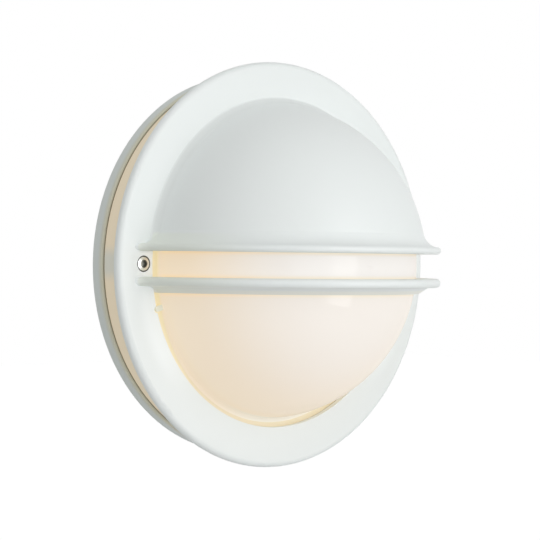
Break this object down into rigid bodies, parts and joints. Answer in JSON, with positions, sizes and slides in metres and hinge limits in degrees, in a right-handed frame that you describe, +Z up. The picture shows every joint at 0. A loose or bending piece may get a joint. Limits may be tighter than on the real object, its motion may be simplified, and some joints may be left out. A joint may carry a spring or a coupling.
{
  "type": "wall light",
  "caption": "Round bulkhead wall light: cast cover with a flat rim, a flared half hood above a lit slot and a curved bar, over an opal dome and a shallow wall base.",
  "frame": {"origin": "centre of the base's back face, on the wall and on the lamp's axis", "axes": "+Y into the wall, -Y out along the lamp's axis, +Z up with the hood above, +X to the right seen from the room"},
  "size_m": [0.26, 0.1331, 0.26],
  "materials": {
    "cover_paint": "satin white powder coat",
    "base_paint": "satin white powder coat",
    "opal": "glossy opal moulding",
    "cover_screw_steel": "polished stainless steel",
    "black_rubber": "matt",
    "grey_rubber": "matt",
    "sponge": "matt cellular",
    "block_plastic": "matt",
    "brass_parts": "bright",
    "steel_screws": "zinc plated",
    "zinc_plate": "zinc plated",
    "porcelain": "glazed",
    "bulb_glass": "inside frosted",
    "white_enamel": "gloss white enamel",
    "lead_brown": "silicone",
    "lead_blue": "silicone",
    "lead_green_yellow": "silicone"
  },
  "bodies": {
    "root": {"base_housing": "base_paint", "wall_gasket": "sponge", "cable_grommet": "black_rubber", "terminal_block": "block_plastic", "terminal_clamps": "brass_parts", "terminal_screws": "steel_screws", "terminal_fixing_screw": "steel_screws", "earth_screw": "steel_screws", "earth_washer": "steel_screws", "lampholder_bracket": "zinc_plate", "bracket_screws": "steel_screws", "holder_screws": "steel_screws", "lampholder_body": "porcelain", "lampholder_shell": "brass_parts", "centre_contact": "brass_parts", "contact_screws": "brass_parts", "bulb": "bulb_glass", "reflector": "white_enamel", "reflector_screws": "steel_screws", "live_lead": "lead_brown", "neutral_lead": "lead_blue", "earth_lead": "lead_green_yellow", "base_seal": "black_rubber", "diffuser": "opal", "diffuser_seal": "grey_rubber", "front_cover": "cover_paint", "cover_screws": "cover_screw_steel", "screw_seals": "black_rubber"}
  },
  "joints": []
}
